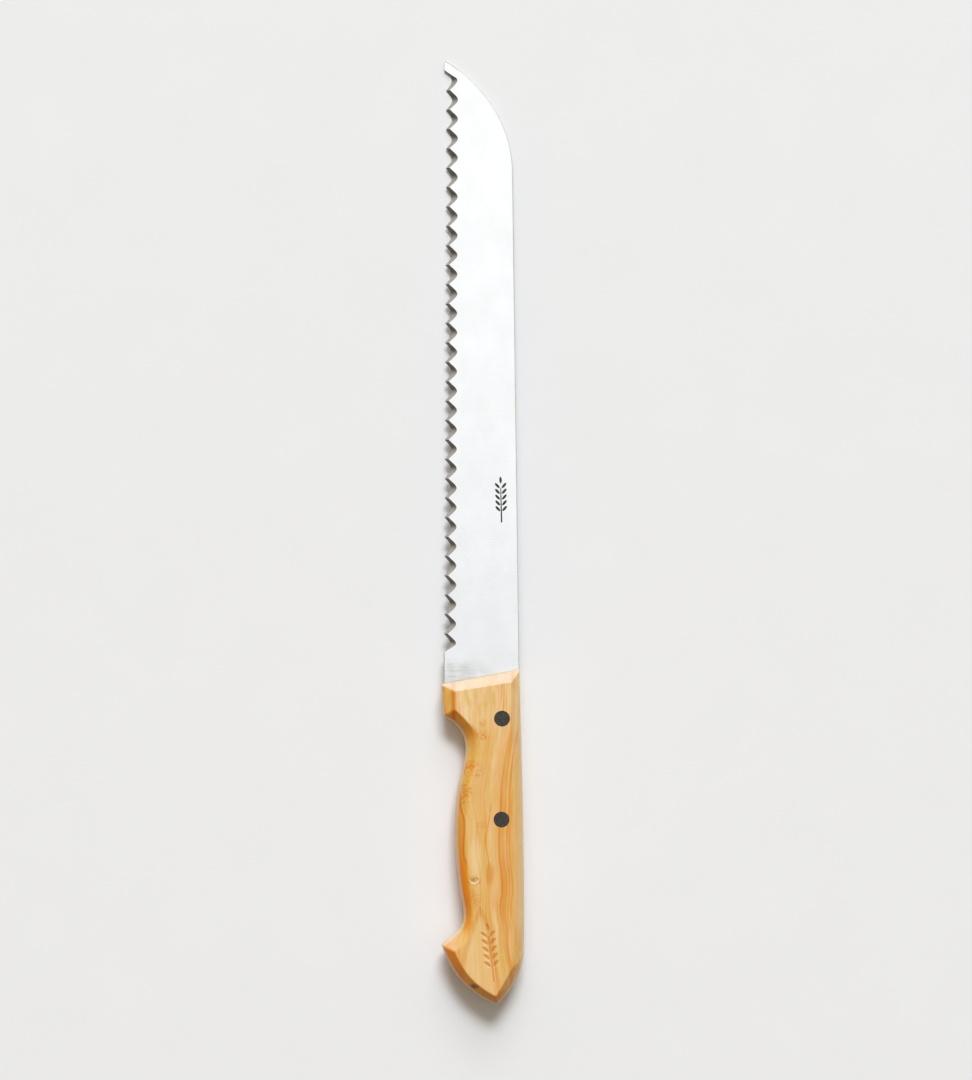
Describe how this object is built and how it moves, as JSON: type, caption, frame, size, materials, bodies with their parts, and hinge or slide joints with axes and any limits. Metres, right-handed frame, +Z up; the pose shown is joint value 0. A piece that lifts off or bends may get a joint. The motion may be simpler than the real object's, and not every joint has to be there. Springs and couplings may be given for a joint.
{
  "type": "bread knife",
  "caption": "Long straight knife with a scalloped single-bevel edge, a clipped tip and a bevelled, riveted wooden handle with a finger notch and a hooked butt.",
  "frame": {"origin": "centre of the bounding box in X and Y, on the surface that the knife lies on", "axes": "+Y along the blade to its tip, +X from the cutting edge to the spine, +Z up through the flat of the blade, on the side that carries the edge bevel"},
  "size_m": [0.0334, 0.3834, 0.02],
  "materials": {
    "blade_steel": "satin, finely ground across the width",
    "boxwood": "satin oiled boxwood, grain along the length",
    "rivet_metal": "dark oxidised, ground flush with the wood"
  },
  "bodies": {
    "root": {"blade": "blade_steel", "handle": "boxwood", "front_rivet_tube": "rivet_metal", "front_rivet_pin": "rivet_metal", "rear_rivet_tube": "rivet_metal", "rear_rivet_pin": "rivet_metal"}
  },
  "joints": []
}
